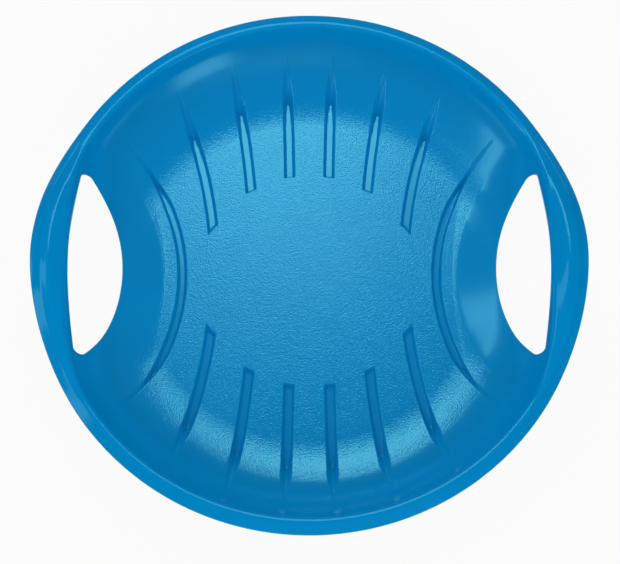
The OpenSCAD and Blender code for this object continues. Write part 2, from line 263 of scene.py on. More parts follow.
class Section:
    """Values worked out from the sizes, and the heights of the sheet's two faces."""

    def __init__(self, s):
        self.sheet = s.sheet
        self.rim_r = s.diameter / 2
        self.crest_r = self.rim_r - s.rim_width
        self.floor_r = self.crest_r - s.wall_run
        self.dish_h = s.dish_height
        self.roll_r = s.roll_radius
        self.roll_z = s.dish_height - s.roll_radius
        self.arc_r = (s.wall_run**2 + self.roll_z**2 - s.roll_radius**2) / (2 * s.dish_height)
        self.roll_in = s.roll_radius * s.wall_run / (self.arc_r + s.roll_radius)
        self.roll_out = s.roll_radius * math.sin(s.flank_slope)
        self.flank = s.flank_slope
        self.floor_z = s.sheet + s.rib_depth

        self.rib_start = self.floor_r - s.rib_on_floor
        self.rib_end = self.crest_r - s.rib_end_gap
        self.rib_toe = self.rib_end - s.rib_climb
        self.seam_r = self.rib_end + SEAM_GAP
        self.rib_depth = s.rib_depth
        self.rib_bend = s.rib_bend
        self.groove_half = s.groove_half
        self.draft = s.groove_draft
        self.end_square = s.end_square

        self.hole_far = self.crest_r - s.grip_width - s.lip_width
        self.hole_x = self.hole_far - s.hole_width
        self.side_rib_x = self.hole_x - s.side_rib_gap
        self.side_rib_r = s.side_rib_radius
        self.side_x = self.side_rib_x + s.side_rib_radius
        self.foot_r = s.side_rib_radius - s.ramp_gap
        self.ramp_rise = math.tan(s.ramp_slope)
        self.soft_from = self.side_rib_x + s.ramp_gap - RAMP_SOFT_LEAD

        self.span = s.grip_span
        self.grip_w = s.grip_width
        self.grip_ridge = s.grip_ridge
        self.in_slope, self.out_slope = s.grip_in_slope, s.grip_out_slope
        self.grip_rise = s.grip_rise
        self.rise_from = self.hole_x
        self.rise_to = self.crest_r - RISE_LEAD

        # The hole's rounded tip lies inside the arcs of both edges
        self.in_r, self.out_r = s.hole_inner_radius, s.hole_outer_radius
        self.in_x = self.hole_x + self.in_r
        self.out_x = self.hole_far - self.out_r
        self.tip_r = s.hole_tip_radius
        a, b, d = self.in_r - self.tip_r, self.out_r - self.tip_r, self.in_x - self.out_x
        self.tip_x = self.out_x + (b * b - a * a + d * d) / (2 * d)
        self.tip_y = math.sqrt(b * b - (self.tip_x - self.out_x) ** 2)
        self.in_most = math.atan2(self.tip_y, self.in_x - self.tip_x)
        self.out_most = math.atan2(self.tip_y, self.tip_x - self.out_x)
        # Azimuth and radius at which a ray from the centre just touches the tip
        away = math.hypot(self.tip_x, self.tip_y)
        self.touch = math.atan2(self.tip_y, self.tip_x) + math.asin(self.tip_r / away)
        self.touch_r = math.sqrt(away**2 - self.tip_r**2)

        # Cross ribs: place on the X axis and radius of each one's curve
        self.ribs = [
            (s.inner_rib_part * self.side_rib_x, s.inner_rib_radius),
            (s.middle_rib_part * self.side_rib_x, s.middle_rib_radius),
            (s.outer_rib_part * self.side_rib_x, s.outer_rib_radius),
        ]

    def wall_z(self, r):
        """Height of the curved wall above the floor."""
        over = np.clip(r - self.floor_r, 0, self.arc_r)
        return self.arc_r - np.sqrt(self.arc_r**2 - over**2)

    def dish_z(self, r):
        """Height of the plain dish above the floor: floor, wall, rolled crest and flank."""
        over = np.clip(r - self.crest_r, -self.roll_r, self.roll_r)
        roll = self.roll_z + np.sqrt(self.roll_r**2 - over**2)
        flank = (
            self.roll_z
            + self.roll_r * math.cos(self.flank)
            - (r - self.crest_r - self.roll_out) * math.tan(self.flank)
        )
        inside = np.where(r < self.crest_r - self.roll_in, self.wall_z(r), roll)
        return np.where(r < self.crest_r + self.roll_out, inside, flank)

    def bell(self, a):
        """1 at the middle of a handle, falling to 0 where its arch ends."""
        return np.where(np.abs(a) < self.span, 0.5 + 0.5 * np.cos(np.pi * a / self.span), 0)

    def past_foot(self, x, y):
        """Distance past the foot of the nearer side's ramp, below 0 on the floor."""
        return self.foot_r - np.hypot(np.abs(x) - self.side_x, y)

    def sheet_z(self, x, y):
        """Height of the upper face above the ground, before grooves and rounded edges."""
        r = np.hypot(x, y)
        turn = np.arctan2(np.abs(y), np.abs(x))
        bell = self.bell(turn)
        widen = self.grip_w * bell
        shoulder = self.crest_r - widen
        dish = np.where(
            r < shoulder,
            self.dish_z(r + widen),
            np.where(r < self.crest_r, self.dish_h, self.dish_z(r)),
        )
        roof = self.grip_roof(r, shoulder, turn)
        ramp = self.past_foot(x, y) * self.ramp_rise
        soft = RAMP_SOFT * np.clip((r - self.soft_from) / RAMP_SOFT_RUN, RAMP_SOFT_LEAST, 1)
        rise = smooth((r - self.rise_from) / (self.rise_to - self.rise_from))
        return self.floor_z + soft_max(dish, ramp, soft) + roof + self.grip_rise * bell * rise

    def grip_roof(self, r, shoulder, a):
        """The ridge along a handle's top, which falls gently to both sides."""
        share = smooth((self.span - a) / ROOF_TURN)
        ridge = self.crest_r - self.grip_ridge * share
        inward = soft_min(ridge - r, ridge - shoulder + PAST_SHOULDER, SHOULDER_SOFT)
        outward = soft_min(r - ridge, self.grip_ridge + PAST_CREST, CREST_SOFT)
        fall = soft_max(self.in_slope * inward, self.out_slope * outward, RIDGE_SOFT)
        near = smooth((r - self.hole_far + ROOF_LEAD) / ROOF_RUN)
        return near * share * (ROOF_HEIGHT - fall)

    def groove_depth(self, r):
        """Depth of a groove's bottom below the dish, at radius r from the sled's centre.

        The bottom lies on the ground up to the toe and then rises to meet the wall at the end.
        """
        level = self.rib_depth + self.wall_z(r)
        left = np.clip((self.rib_end - r) / (self.rib_end - self.rib_toe), 0, None)
        rising = (self.rib_depth + self.wall_z(self.rib_toe)) * left**2
        return np.clip(soft_min(level, rising, self.rib_bend), 0, None)

    def rib_shape(self, off, r, half, past_end, extra):
        """Depth of a rib at a distance off its middle line and a distance past its inner end."""
        depth = self.groove_depth(r)
        draft = np.interp(r, (self.rib_toe, self.rib_toe + DRAFT_RUN), (self.draft, CLIMB_DRAFT))
        side = (half + extra - np.abs(off)) / draft
        side = soft_min(side, (past_end + extra) / self.draft, CORNER_SOFT)
        soft = GROOVE_SOFT * np.clip(depth / SHALLOW, 0, 1)
        return soft_max(soft_min(side, depth, soft), np.zeros_like(side), soft)

    def ribs_z(self, x, y, extra):
        """Depth of all ribs at a point; extra widens them, for the ridges underneath."""
        x, y = np.abs(x), np.abs(y)
        r = np.hypot(x, y)
        deepest = np.zeros_like(r)
        fade_run = self.rib_end - self.rib_toe - FADE_LEAD
        fade = np.clip((self.rib_end - r) / fade_run, FADE_LEAST, 1)
        for start_x, radius in self.ribs:
            off = np.hypot(x - start_x - radius, y) - radius
            lean = off * self.end_square * start_x / self.rib_start
            past_end = r - self.rib_start + lean
            shape = self.rib_shape(off, r, self.groove_half * fade, past_end, extra)
            deepest = np.maximum(deepest, shape)
        off = np.hypot(x - self.side_x, y) - self.side_rib_r
        stops = (self.floor_r - SIDE_LEAD, self.rib_toe, self.rib_end)
        half = np.interp(r, stops, (SIDE_SHARE * self.groove_half, SIDE_TOE_HALF, SIDE_END_HALF))
        # A side rib has no inner end, so every point of it is far past one
        side = self.rib_shape(off, r, half, np.ones_like(r), extra)
        return np.where(r < self.rib_end, np.maximum(deepest, side), 0)

    def hole_distance(self, x, y):
        """Distance from the edge of the nearer hand hole."""
        x, y = np.abs(x), np.abs(y)
        near_in = np.hypot(x - self.in_x, y) - (self.in_r - self.tip_r)
        near_out = np.hypot(x - self.out_x, y) - (self.out_r - self.tip_r)
        corner = np.hypot(x - self.tip_x, y - self.tip_y)
        by_in = (np.arctan2(y, self.in_x - x) < self.in_most) & (x < self.in_x) & (near_in > 0)
        by_out = (np.arctan2(y, x - self.out_x) < self.out_most) & (near_out > 0)
        on_in = np.where(by_in, near_in, FAR)
        on_out = np.where(by_out, near_out, FAR)
        return np.minimum(np.minimum(on_in, on_out), corner) - self.tip_r

    def edge_round(self, x, y):
        """Drop of each face beside a free edge, which makes the sheet's edge half round."""
        radius = self.sheet / 2
        free = np.minimum(self.rim_r - np.hypot(x, y), self.hole_distance(x, y))
        gap = np.clip(radius - free, 0, radius * ROUND_PART)
        return radius - np.sqrt(radius**2 - gap**2)

    def grain(self, x, y):
        """1 where the mould is etched with grain: the floor and the low walls, not the ramps."""
        r = np.hypot(x, y)
        up_wall = smooth((r - self.rib_toe - GRAIN_PAST_TOE) / GRAIN_FADE)
        ramp = smooth(self.past_foot(x, y) / RAMP_FADE)
        off_toe = smooth(np.abs(r - self.rib_toe) / TOE_FADE)
        groove = smooth(self.ribs_z(x, y, 0) / SHALLOW) * off_toe
        return (1 - up_wall) * (1 - ramp) * (1 - groove)

    def top_z(self, x, y):
        """Height of the finished upper face."""
        return self.sheet_z(x, y) - self.ribs_z(x, y, 0) - self.edge_round(x, y)

    def low_z(self, x, y):
        """Height of the finished lower face, which never lies below the ground."""
        fx, fy = slopes(self.sheet_z, x, y)
        thick = self.sheet * np.sqrt(1 + fx**2 + fy**2)
        ridge = self.ribs_z(x, y, RIDGE_EXTRA * self.sheet)
        low = self.sheet_z(x, y) - thick - ridge + self.edge_round(x, y)
        return np.maximum(low, 0)


def smooth(t):
    """An S-shaped step from 0 to 1."""
    t = np.clip(t, 0, 1)
    return t * t * (3 - 2 * t)


def soft_max(a, b, k):
    """The higher of two values, rounded over k where they cross."""
    k = np.maximum(k, 1e-9)
    h = np.clip(0.5 + 0.5 * (a - b) / k, 0, 1)
    return b + (a - b) * h + k * h * (1 - h)


def soft_min(a, b, k):
    """The lower of two values, rounded over k where they cross."""
    return -soft_max(-a, -b, k)


def slopes(height, x, y):
    """Slopes of a height function along X and along Y."""
    fx = (height(x + SLOPE_STEP, y) - height(x - SLOPE_STEP, y)) / (2 * SLOPE_STEP)
    fy = (height(x, y + SLOPE_STEP) - height(x, y - SLOPE_STEP)) / (2 * SLOPE_STEP)
    return fx, fy


def stretch(start, end, count):
    """The starts of an even count of steps between two values."""
    return [start + (end - start) * i / count for i in range(count)]


def stretches(marks, counts):
    """Values from the first mark to the last, with a count of even steps to each next mark."""
    values = []
    for start, end, count in zip(marks, marks[1:], counts):
        values += stretch(start, end, count)
    return values + [marks[-1]]


def spaced(start, end, step):
    """Even steps of about one size from start up to end, which is left out."""
    return stretch(start, end, max(1, round(abs(end - start) / step)))


def across_rib():
    """Distances off a rib's middle line at which grid lines run, finest over its sides."""
    half = spaced(0, RIB_BOTTOM, BOTTOM_STEP) + spaced(RIB_BOTTOM, RIB_REACH, SIDE_STEP)
    half = half[1:] + [RIB_REACH]
    return [-d for d in reversed(half)] + [0.0] + half


def crossing(x0, curve, r):
    """Where the column that starts at x0 with that curvature crosses the circle of radius r."""
    x = (curve * (r * r + x0 * x0) + 2 * x0) / (2 * (1 + curve * x0))
    return x, math.sqrt(max(r * r - x * x, 0))


class Grids:
    """The quarter of the sled with x and y above 0, as grids of plan points.

    Each grid is a dict with x and y arrays and an array of region names, one for each cell.
    """

    def __init__(self, section):
        self.s = section
        self.central = self.make_central()
        self.side = self.make_side()
        self.rim = self.make_rim()

    def columns(self):
        """Columns of the central grid: place on the X axis, curvature and region.

        Between two ribs both values change evenly, so the lines fan as the ribs do.
        """
        lines, regions = [], []
        stops = [(0.0, 0.0, None)]
        for n, (start_x, radius) in enumerate(self.s.ribs):
            stops += [(start_x - RIB_REACH, 1 / (radius + RIB_REACH), n)]
            stops += [(start_x + RIB_REACH, 1 / (radius - RIB_REACH), None)]
        last = self.s.side_rib_x - RIB_REACH
        stops += [(last, 1 / (self.s.side_rib_r + RIB_REACH), None)]
        for (x0, c0, rib), (x1, c1, _) in zip(stops, stops[1:]):
            if rib is None:
                places = spaced(x0, x1, PLAIN_STEP)
                lines += [(x, c0 + (c1 - c0) * (x - x0) / (x1 - x0)) for x in places]
                regions += ["plain"] * len(places)
            else:
                start_x, radius = self.s.ribs[rib]
                offs = across_rib()[:-1]
                lines += [(start_x + d, 1 / (radius - d)) for d in offs]
                regions += [f"rib{rib}"] * len(offs)
        lines.append((last, 1 / (self.s.side_rib_r + RIB_REACH)))
        return lines, regions

    def rib_start_y(self, lines, regions):
        """Where each column meets the round line of the ribs' inner ends, and its rate there.

        The rate is how fast a column's distance from the centre grows with y.
        """
        known_i, known_y, known_rate = [], [], []
        beside = zip(lines, ["plain", *regions], [*regions, "plain"])
        for i, (line, left, right) in enumerate(beside):
            if left != "plain" or right != "plain":
                x, y = crossing(*line, self.s.rib_start)
                lean = line[1] * y / math.sqrt(1 - (line[1] * y) ** 2)
                known_i.append(i)
                known_y.append(y)
                known_rate.append((y + x * lean) / self.s.rib_start)
        known_i = [0, *known_i, len(lines) - 1]
        known_y = [known_y[0], *known_y, LAST_START]
        known_rate = [known_rate[0], *known_rate, known_rate[-1]]
        columns = range(len(lines))
        return np.interp(columns, known_i, known_y), np.interp(columns, known_i, known_rate)

    def make_central(self):
        """The floor and the front or rear wall, up to the seam with the rim."""
        s = self.s
        lines, regions = self.columns()
        first_y, rates = self.rib_start_y(lines, regions)
        toe = (s.rib_toe - TOE_BEFORE, s.rib_toe + TOE_PAST)
        bounds = (s.floor_r, *toe, s.rib_end + OUTER_END_PAST, s.seam_r)
        xs, ys = [], []
        for (x0, c), first, rate in zip(lines, first_y, rates):
            marks = [0, first - INNER_END_BEFORE / rate, first + INNER_END_PAST / rate]
            marks += [crossing(x0, c, r)[1] for r in bounds]
            y = np.array(stretches(marks, CENTRAL_ROWS))
            xs.append(x0 + c * y * y / (1 + np.sqrt(1 - (c * y) ** 2)))
            ys.append(y)
        on_floor, on_wall = sum(CENTRAL_ROWS[:3]), sum(CENTRAL_ROWS[3:])
        before, on_rib, after = CENTRAL_ROWS[0], sum(CENTRAL_ROWS[1:-1]), CENTRAL_ROWS[-1]
        cells = []
        for region in regions:
            column = ["floor"] * on_floor + ["wall"] * on_wall
            if region != "plain":
                column[before:-after] = [region] * on_rib
            cells.append(column)
        return {"x": np.array(xs), "y": np.array(ys), "cells": np.array(cells)}

    def make_side(self):
        """A side rib, the ramp and the crescent of wall behind them, up to the hand hole."""
        s = self.s
        outer = s.side_rib_r + RIB_REACH
        turns = np.arcsin(np.clip(self.central["y"][-1] / outer, 0, 1))
        share = turns / turns[-1]
        self.past_tip = share >= TIP_SHARE
        rows = [s.side_rib_r - d for d in across_rib()]
        rows += stretch(rows[-1], s.foot_r, FOOT_ROWS)[1:] + [s.foot_r]
        xs, ys = [], []
        for r in rows:
            last = math.acos((r**2 + s.side_x**2 - s.seam_r**2) / (2 * r * s.side_x))
            xs.append(s.side_x - r * np.cos(share * last))
            ys.append(r * np.sin(share * last))
        # The last row follows the hole's inner edge to its tip and then runs out to the seam
        end_x, end_y = self.side_end(share)
        foot_x, foot_y = xs[-1], ys[-1]
        for t in stretches((0, NEAR_SHARE, 1.0), (RAMP_ROWS, NEAR_ROWS))[1:]:
            xs.append(foot_x + (end_x - foot_x) * t)
            ys.append(foot_y + (end_y - foot_y) * t)
        across = len(across_rib()) - 1
        cells = [["siderib"] * (len(share) - 1)] * across
        cells += [["sidewall"] * (len(share) - 1)] * (len(xs) - 1 - across)
        return {"x": np.array(xs), "y": np.array(ys), "cells": np.array(cells)}

    def side_end(self, share):
        """Points of the hole's inner edge, its tip and the line on to the seam."""
        s = self.s
        seam = 0.5 * (s.touch + s.span)
        # Turn of the tip's round, from where it leaves the inner edge to the touching ray
        round_from, round_to = math.pi - s.in_most, s.touch + math.pi / 2
        x, y = np.empty_like(share), np.empty_like(share)
        for i, t in enumerate(share):
            if t < INNER_SHARE:
                a = s.in_most * t / INNER_SHARE
                x[i], y[i] = s.in_x - s.in_r * math.cos(a), s.in_r * math.sin(a)
            elif t < TIP_SHARE:
                u = (t - INNER_SHARE) / (TIP_SHARE - INNER_SHARE)
                a = round_from + (round_to - round_from) * u
                x[i], y[i] = s.tip_x + s.tip_r * math.cos(a), s.tip_y + s.tip_r * math.sin(a)
            else:
                u = (t - TIP_SHARE) / (1 - TIP_SHARE)
                a = s.touch + (seam - s.touch) * u
                r = s.touch_r + (s.seam_r - s.touch_r) * smooth(u)
                x[i], y[i] = r * math.cos(a), r * math.sin(a)
        return x, y

    def make_rim(self):
        """The rim and the handle, from the hole's outer edge or the seam out to the edge."""
        s = self.s
        edge = [
            (s.out_x + s.out_r * math.cos(a), s.out_r * math.sin(a))
            for a in stretch(0, s.out_most, HOLE_COLUMNS)
        ]
        edge += [
            (s.tip_x + s.tip_r * math.cos(a), s.tip_y + s.tip_r * math.sin(a))
            for a in stretch(s.out_most, s.touch + math.pi / 2, TIP_COLUMNS)
        ]
        # Past the tip the columns start at the points of the side's and the central grid
        side_x, side_y = self.side["x"], self.side["y"]
        edge += list(zip(side_x[-1][self.past_tip], side_y[-1][self.past_tip]))
        edge += list(zip(side_x[-2::-1, -1], side_y[-2::-1, -1]))
        edge += list(zip(self.central["x"][-2::-1, -1], self.central["y"][-2::-1, -1]))
        turns = np.array([math.atan2(y, x) for x, y in edge])
        rows = [self.rim_rows(math.hypot(x, y), a) for (x, y), a in zip(edge, turns)]
        xs = [r * math.cos(a) for r, a in zip(rows, turns)]
        ys = [r * math.sin(a) for r, a in zip(rows, turns)]
        middle = 0.5 * (turns[1:] + turns[:-1])
        cells = [["handle" if a < s.span else "rim"] * sum(RIM_ROWS) for a in middle]
        return {"x": np.array(xs), "y": np.array(ys), "cells": np.array(cells)}

    def rim_rows(self, start, a):
        """Radii across the rim at azimuth a, closest at the lip, the crest and the edge."""
        s = self.s
        shoulder = min(s.crest_r - s.grip_w * float(s.bell(a)), s.crest_r - LEAST_WIDTH)
        bend = max(start + LEAST_WIDTH, shoulder - s.roll_in)
        flank = s.crest_r + s.roll_out
        marks = (start, start + EDGE_BAND, bend, shoulder, s.crest_r, flank, s.rim_r - EDGE_BAND)
        return np.array(stretches((*marks, s.rim_r), RIM_ROWS))


@lru_cache(maxsize=2)
def quarter(key):
    """The section and its grids for one set of sizes."""
    section = Section(bpy.context.scene.sled_sizes)
    return section, Grids(section)


def sheet_parts():
    """The section and grids for the scene's sizes."""
    sizes = bpy.context.scene.sled_sizes
    key = tuple(round(getattr(sizes, name), 9) for name in SledSizes.__annotations__)
    return quarter(key)


def build_piece(name, region, quarters):
    """Makes the closed sheet of one region, in the given quarters, as an object.

    region is a name from the cells of one of the grids; quarters holds pairs of signs for x and y.
    """
    section, grids = sheet_parts()
    grid = next(g for g in (grids.central, grids.side, grids.rim) if (g["cells"] == region).any())
    columns, rows = np.nonzero(grid["cells"] == region)
    step = grid["x"].shape[1]
    corner = columns * step + rows
    base = np.stack([corner, corner + step, corner + step + 1, corner + 1], axis=1)
    x, y = grid["x"].ravel(), grid["y"].ravel()
    first, following = base[0], np.roll(base[0], -1)
    area = np.sum(x[first] * y[following] - x[following] * y[first])
    points, quads = [], []
    for n, (sx, sy) in enumerate(quarters):
        points.append(np.stack([x * sx, y * sy], axis=1))
        turned = base if area * sx * sy > 0 else base[:, ::-1]
        quads.append(turned + n * len(x))
    points, quads = np.concatenate(points), np.concatenate(quads)
    keys = np.round(points / MERGE).astype(np.int64)
    used = np.unique(quads)
    _, kept, inverse = np.unique(keys[used], axis=0, return_index=True, return_inverse=True)
    renumber = np.full(len(points), -1)
    renumber[used] = inverse.ravel()
    return sheet_object(name, section, points[used][kept], renumber[quads])


def face_normals(height, x, y, side):
    """Unit normals of a height function at plan points; side is 1 for up and -1 for down."""
    fx, fy = slopes(height, x, y)
    n = np.stack([-fx, -fy, np.ones_like(fx)], axis=1) * side
    return n / np.linalg.norm(n, axis=1, keepdims=True)


def sheet_object(name, section, plan, quads):
    """Turns plan points and cells into a closed sheet with upper, lower and side faces."""
    x, y = plan[:, 0], plan[:, 1]
    top = np.stack([x, y, section.top_z(x, y)], axis=1)
    low = np.stack([x, y, section.low_z(x, y)], axis=1)
    n = len(plan)
    edges = np.concatenate([quads[:, [i, (i + 1) % 4]] for i in range(4)])
    edges = edges[edges[:, 0] != edges[:, 1]]
    reverse = {(b, a) for a, b in map(tuple, edges)}
    outline = np.array([e for e in map(tuple, edges) if e not in reverse])
    sides = np.stack([outline[:, 0], outline[:, 0] + n, outline[:, 1] + n, outline[:, 1]], axis=1)
    verts = np.concatenate([top, low])
    faces, normals = [], []
    for cells, shift, height, side in (
        (quads, 0, section.top_z, 1),
        (quads[:, ::-1], n, section.low_z, -1),
    ):
        point_normals = face_normals(height, x, y, side)
        for quad in cells:
            face = without_repeats(quad)
            if len(face) > 2:
                faces.append([i + shift for i in face])
                normals += [point_normals[i] for i in face]
    for quad in sides:
        a, b, c = verts[quad[0]], verts[quad[1]], verts[quad[2]]
        flat = np.cross(b - a, c - a)
        flat = flat / max(np.linalg.norm(flat), 1e-12)
        faces.append([int(i) for i in quad])
        normals += [flat] * 4
    mesh = bpy.data.meshes.new(name)
    mesh.from_pydata(verts.tolist(), [], faces)
    mesh.validate()
    mesh.polygons.foreach_set("use_smooth", [True] * len(mesh.polygons))
    etched = mesh.attributes.new("grain", "FLOAT", "POINT")
    etched.data.foreach_set("value", np.tile(section.grain(x, y), 2).astype(np.float32))
    mesh.normals_split_custom_set([tuple(map(float, v)) for v in normals])
    piece = bpy.data.objects.new(name, mesh)
    bpy.context.scene.collection.objects.link(piece)
    return piece


def without_repeats(quad):
    """The quad's corners without repeats, for cells that close to a point."""
    return list(dict.fromkeys(int(i) for i in quad))


def add_node(tree, kind, inputs=None, links=None, **settings):
    """Adds a shader node with its settings, its input values and the sockets linked to it."""
    node = tree.nodes.new(kind)
    for key, value in settings.items():
        setattr(node, key, value)
    for key, value in (inputs or {}).items():
        node.inputs[key].default_value = value
    for key, source in (links or {}).items():
        tree.links.new(source, node.inputs[key])
    return node


def new_material(name):
    """An empty node material and its node tree."""
    material = bpy.data.materials.new(name)
    material.use_nodes = True
    material.node_tree.nodes.clear()
    return material, material.node_tree


# Index of refraction of solid polyethylene, and how strongly each finish mirrors
IOR, GRAINED_SPECULAR, SMOOTH_SPECULAR = 1.54, 1.0, 0.4
# The pigment swallows red, also in the sheen; less red in the mirrored light keeps it as deep
SHEEN_TINT = (0.25, 1.0, 1.0, 1.0)
# Slight unevenness of the pigment: its spacing and its darkest and lightest share
MOTTLE_SIZE, MOTTLE_DARK, MOTTLE_LIGHT = 40 * MM, 0.94, 1.05
# Sink and warp of a cooled moulding: spacing, height and share of the waves
WAVE_SIZE, WAVE_HEIGHT, WAVE_SHARE = 60 * MM, 0.3 * MM, 0.15
# Height of the grain, which is drawn coarser and higher than real etching, as that wouldn't show
GRAIN_HEIGHT = 0.26 * MM


def moulded_polyethylene(name, grained):
    """Injection-moulded high-density polyethylene, coloured right through.

    To the eye it is one deep blue. The polished mould leaves crisp highlights on the rim, which the
    waves bend a little; the etched mould leaves a fine sparkle and broad, soft sheens in the dish.
    """
    finish = bpy.context.scene.sled_finish
    material, tree = new_material(name)
    place = add_node(tree, "ShaderNodeTexCoord").outputs["Object"]
    mottle = add_node(
        tree, "ShaderNodeTexNoise", {"Scale": 1 / MOTTLE_SIZE, "Detail": 3.0}, {"Vector": place}
    )
    base = finish.plastic_colour
    colour = add_node(
        tree,
        "ShaderNodeMix",
        {"A": (*[MOTTLE_DARK * c for c in base], 1), "B": (*[MOTTLE_LIGHT * c for c in base], 1)},
        data_type="RGBA",
    )
    tree.links.new(mottle.outputs["Fac"], colour.inputs["Factor"])
    waves = add_node(
        tree, "ShaderNodeTexNoise", {"Scale": 1 / WAVE_SIZE, "Detail": 2.0}, {"Vector": place}
    )
    bump = add_node(
        tree,
        "ShaderNodeBump",
        {"Strength": WAVE_SHARE, "Distance": WAVE_HEIGHT},
        {"Height": waves.outputs["Fac"]},
    )
    shader = add_node(
        tree,
        "ShaderNodeBsdfPrincipled",
        {
            "Roughness": finish.smooth_roughness,
            "IOR": IOR,
            "Specular IOR Level": GRAINED_SPECULAR if grained else SMOOTH_SPECULAR,
            "Specular Tint": SHEEN_TINT,
        },
        {"Base Color": colour.outputs["Result"], "Normal": bump.outputs["Normal"]},
    )
    if grained:
        grain = add_node(
            tree,
            "ShaderNodeTexNoise",
            {"Scale": 1 / finish.grain_size, "Detail": 0.0},
            {"Vector": place},
        )
        mask = add_node(
            tree, "ShaderNodeAttribute", attribute_name="grain", attribute_type="GEOMETRY"
        ).outputs["Fac"]
        roughness = add_node(
            tree,
            "ShaderNodeMix",
            {"A": finish.ramp_roughness, "B": finish.grain_roughness},
            {"Factor": mask},
            data_type="FLOAT",
        )
        etched = add_node(
            tree,
            "ShaderNodeMath",
            links={0: grain.outputs["Fac"], 1: mask},
            operation="MULTIPLY",
        )
        grain_bump = add_node(
            tree,
            "ShaderNodeBump",
            {"Strength": 1.0, "Distance": GRAIN_HEIGHT},
            {"Height": etched.outputs["Value"], "Normal": bump.outputs["Normal"]},
        )
        tree.links.new(grain_bump.outputs["Normal"], shader.inputs["Normal"])
        tree.links.new(roughness.outputs["Result"], shader.inputs["Roughness"])
    add_node(tree, "ShaderNodeOutputMaterial", links={"Surface": shader.outputs["BSDF"]})
    return material


def shared_material(grained):
    """The dish's grained or the rim's smooth plastic, made once."""
    name = "grained moulded polyethylene" if grained else "smooth moulded polyethylene"
    return bpy.data.materials.get(name) or moulded_polyethylene(name, grained)


def dress(piece, node, grained):
    """Gives a piece its material and its body, and hides the node that it stands for."""
    piece.data.materials.append(shared_material(grained))
    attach(piece, "root")
    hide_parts(node)


RIGHT = ((1, 1), (1, -1))
LEFT = ((-1, 1), (-1, -1))
REAR = ((1, 1), (-1, 1))
FRONT = ((1, -1), (-1, -1))


class SLED_OT_floor(Operator):
    """Builds the flat round floor between the ribs"""

    bl_idname = "sled.floor"
    bl_label = "Floor"

    def execute(self, context):
        piece = build_piece("moulded_floor", "floor", RIGHT + LEFT)
        dress(piece, "floor", True)
        return {"FINISHED"}


class SLED_OT_walls(Operator):
    """Builds the curved walls behind and in front"""

    bl_idname = "sled.walls"
    bl_label = "Walls"

    def execute(self, context):
        for end, quarters in (("rear", REAR), ("front", FRONT)):
            piece = build_piece(f"moulded_{end}_wall", "wall", quarters)
            dress(piece, f"{end}_wall", True)
        return {"FINISHED"}


class SLED_OT_side_walls(Operator):
    """Builds the ramps and crescents of wall between the side ribs and the hand holes"""

    bl_idname = "sled.side_walls"
    bl_label = "Side walls"

    def execute(self, context):
        for side, quarters in (("left", LEFT), ("right", RIGHT)):
            piece = build_piece(f"moulded_{side}_side_wall", "sidewall", quarters)
            dress(piece, f"{side}_side_wall", True)
        return {"FINISHED"}


class SLED_OT_cross_ribs(Operator):
    """Builds the six ribs in the rear wall and the six in the front wall"""

    bl_idname = "sled.cross_ribs"
    bl_label = "Cross ribs"

    def execute(self, context):
        for end, sy in (("rear", 1), ("front", -1)):
            for n in range(3):
                for number, sx in ((3 - n, -1), (4 + n, 1)):
                    piece = build_piece(f"moulded_{end}_rib_{number}", f"rib{n}", ((sx, sy),))
                    dress(piece, f"{end}_rib_{number}", True)
        return {"FINISHED"}


class SLED_OT_side_ribs(Operator):
    """Builds the two curved ribs beside the floor"""

    bl_idname = "sled.side_ribs"
    bl_label = "Side ribs"

    def execute(self, context):
        for side, quarters in (("left", LEFT), ("right", RIGHT)):
            piece = build_piece(f"moulded_{side}_side_rib", "siderib", quarters)
            dress(piece, f"{side}_side_rib", True)
        return {"FINISHED"}


class SLED_OT_rims(Operator):
    """Builds the rolled rims behind and in front"""

    bl_idname = "sled.rims"
    bl_label = "Rims"

    def execute(self, context):
        for end, quarters in (("rear", REAR), ("front", FRONT)):
            piece = build_piece(f"moulded_{end}_rim", "rim", quarters)
            dress(piece, f"{end}_rim", False)
        return {"FINISHED"}


class SLED_OT_handles(Operator):
    """Builds the two arched handles"""

    bl_idname = "sled.handles"
    bl_label = "Handles"

    def execute(self, context):
        for side, quarters in (("left", LEFT), ("right", RIGHT)):
            piece = build_piece(f"moulded_{side}_handle", "handle", quarters)
            dress(piece, f"{side}_handle", False)
        return {"FINISHED"}


PAPER_COLOUR = "C8C8C8"
# How much of the paper is plain white to the camera and in reflections; shadows show in the rest
WHITE_SHARE = 0.95


def matt_paper():
    """Uncoated pressed paper in one seamless sheet, evenly white to the eye and without sheen."""
    material, tree = new_material("matt white paper")
    lit = add_node(
        tree, "ShaderNodeBsdfDiffuse", {"Color": (*linear(PAPER_COLOUR), 1), "Roughness": 1.0}
    )
    white = add_node(tree, "ShaderNodeEmission", {"Color": (1, 1, 1, 1), "Strength": 1.0})
    path = add_node(tree, "ShaderNodeLightPath")
    seen = path.outputs["Is Camera Ray"]
    for ray in ("Is Glossy Ray", "Is Transmission Ray"):
        both = {0: seen, 1: path.outputs[ray]}
        seen = add_node(tree, "ShaderNodeMath", links=both, operation="MAXIMUM").outputs["Value"]
    share = add_node(tree, "ShaderNodeMapRange", {"To Max": WHITE_SHARE}, {"Value": seen})
    mix = add_node(
        tree,
        "ShaderNodeMixShader",
        links={0: share.outputs["Result"], 1: lit.outputs["BSDF"], 2: white.outputs["Emission"]},
    )
    add_node(tree, "ShaderNodeOutputMaterial", links={"Surface": mix.outputs["Shader"]})
    return material


